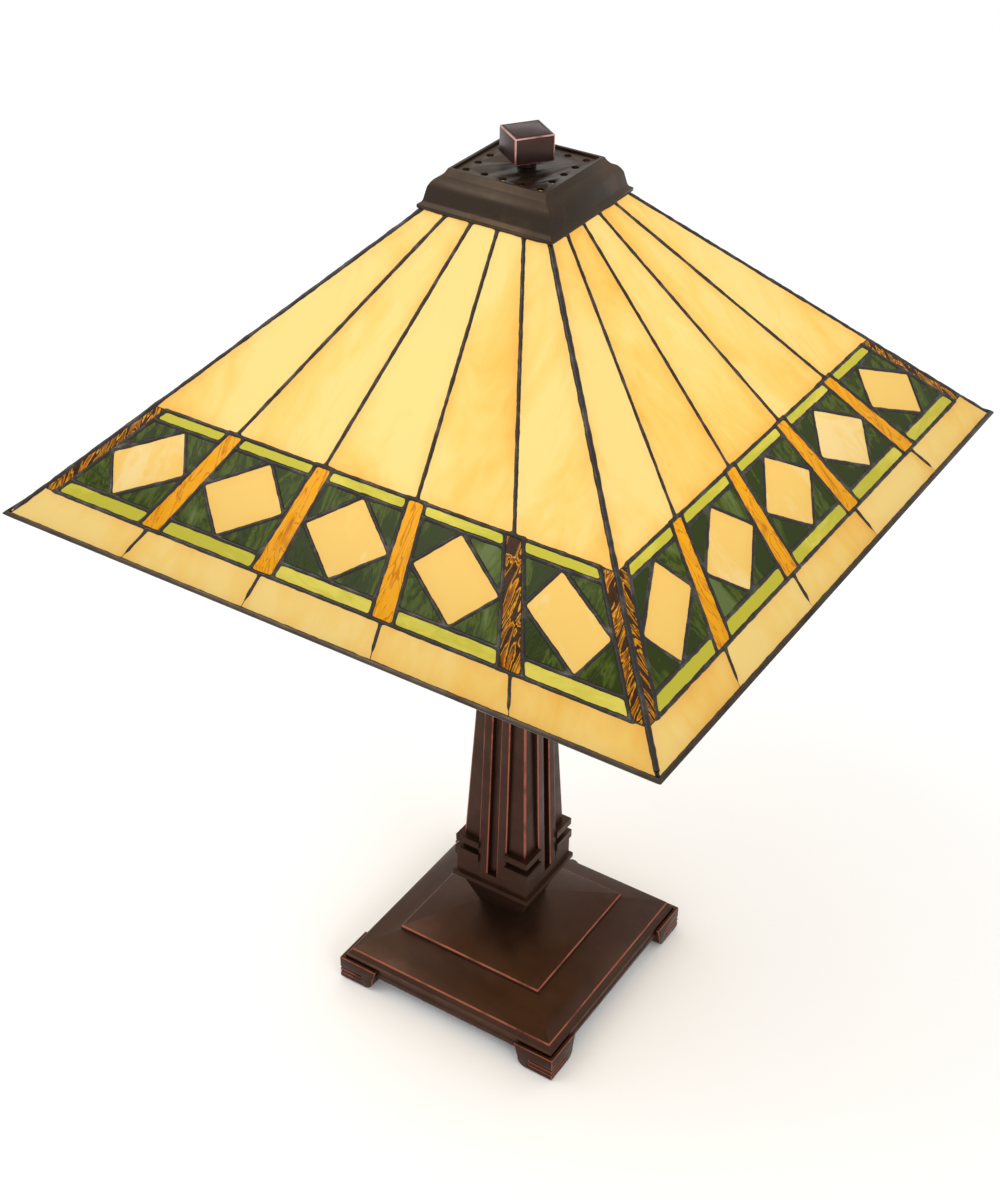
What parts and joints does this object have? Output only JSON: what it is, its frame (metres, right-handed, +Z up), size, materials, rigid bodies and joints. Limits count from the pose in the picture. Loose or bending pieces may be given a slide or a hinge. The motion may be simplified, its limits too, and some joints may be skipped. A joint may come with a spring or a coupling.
{
  "type": "stained glass table lamp",
  "caption": "Table lamp with a square leaded glass shade that turns on its stud, a vented cap and square finial, two pull-chain bulbs and a panelled bronze column on a stepped, footed base.",
  "frame": {"origin": "on the table under the middle of the base", "axes": "+Z up through the finial; the shade's four faces look along -Y, +X, +Y and -X, and the cord inlet is in the +Y edge of the base"},
  "size_m": [0.4098, 0.4098, 0.5891],
  "materials": {
    "honey_glass": "opalescent, warm honey with pale wisps",
    "amber_glass": "rippled amber with brown streaks",
    "lime_glass": "opalescent yellow green",
    "peach_glass": "opalescent peach cream",
    "green_glass": "streaky olive green",
    "bulb_glass": "frosted",
    "solder": "black patina solder",
    "came": "dark patina channel",
    "cap_bronze": "dark bronze patina",
    "cast_bronze": "mahogany bronze patina, copper on the edges",
    "brass": "plain brass",
    "aged_brass": "antique brass",
    "nickel": "satin nickel",
    "steel": "zinc plated",
    "painted_steel": "black paint",
    "raw_iron": "rough cast",
    "felt": "dark green felt",
    "black_plastic": "plain",
    "porcelain": "glazed"
  },
  "bodies": {
    "stand": {"base_casting": "cast_bronze", "base_feet": "cast_bronze", "felt_pads": "felt", "ballast_plate": "raw_iron", "base_cover": "painted_steel", "cover_screws": "steel", "base_washer": "steel", "base_nut": "brass", "lamp_pipe": "brass", "column": "cast_bronze", "column_collar": "cast_bronze", "column_nut": "brass", "cord_bushing": "black_plastic", "cluster_body": "cast_bronze", "riser_rod": "brass", "socket_caps": "aged_brass", "socket_shells": "aged_brass", "screw_shells": "brass", "socket_insulators": "porcelain", "contact_tabs": "brass"},
    "shade": {"solder_lattice_front": "solder", "solder_lattice_right": "solder", "solder_lattice_back": "solder", "solder_lattice_left": "solder", "field_glass_front": "honey_glass", "field_glass_right": "honey_glass", "field_glass_back": "honey_glass", "field_glass_left": "honey_glass", "skirt_glass_front": "honey_glass", "skirt_glass_right": "honey_glass", "skirt_glass_back": "honey_glass", "skirt_glass_left": "honey_glass", "amber_bars_front": "amber_glass", "amber_bars_right": "amber_glass", "amber_bars_back": "amber_glass", "amber_bars_left": "amber_glass", "lime_strips_front": "lime_glass", "lime_strips_right": "lime_glass", "lime_strips_back": "lime_glass", "lime_strips_left": "lime_glass", "diamond_glass_front": "peach_glass", "diamond_glass_right": "peach_glass", "diamond_glass_back": "peach_glass", "diamond_glass_left": "peach_glass", "green_corners_front": "green_glass", "green_corners_right": "green_glass", "green_corners_back": "green_glass", "green_corners_left": "green_glass", "hip_solder": "solder", "rim_channel": "came", "shade_spider": "brass", "heat_cap": "cap_bronze"},
    "finial": {"finial": "cap_bronze", "finial_insert": "brass"},
    "bulb_left": {"bulb_base_left": "nickel", "bulb_glass_left": "bulb_glass"},
    "chain_left": {"pull_chain_left": "aged_brass"},
    "bulb_right": {"bulb_base_right": "nickel", "bulb_glass_right": "bulb_glass"},
    "chain_right": {"pull_chain_right": "aged_brass"}
  },
  "joints": [
    {"name": "shade_turn", "type": "hinge", "parent": "stand", "child": "shade", "pos_m": [0, 0, 0.5428], "axis": [0, 0, 1], "continuous": true},
    {"name": "finial_turn", "type": "hinge", "parent": "stand", "child": "finial", "pos_m": [0, 0, 0.5744], "axis": [0, 0, 1], "continuous": true},
    {"name": "bulb_left_turn", "type": "hinge", "parent": "stand", "child": "bulb_left", "pos_m": [-0.04, 0, 0.42], "axis": [0, 0, 1], "continuous": true},
    {"name": "bulb_right_turn", "type": "hinge", "parent": "stand", "child": "bulb_right", "pos_m": [0.04, 0, 0.42], "axis": [0, 0, 1], "continuous": true},
    {"name": "chain_left_pull", "type": "slide", "parent": "stand", "child": "chain_left", "axis": [0, 0, -1], "range_m": [0, 0.008], "stiffness_N_per_m": 150, "springref_m": -0.004},
    {"name": "chain_right_pull", "type": "slide", "parent": "stand", "child": "chain_right", "axis": [0, 0, -1], "range_m": [0, 0.008], "stiffness_N_per_m": 150, "springref_m": -0.004}
  ]
}
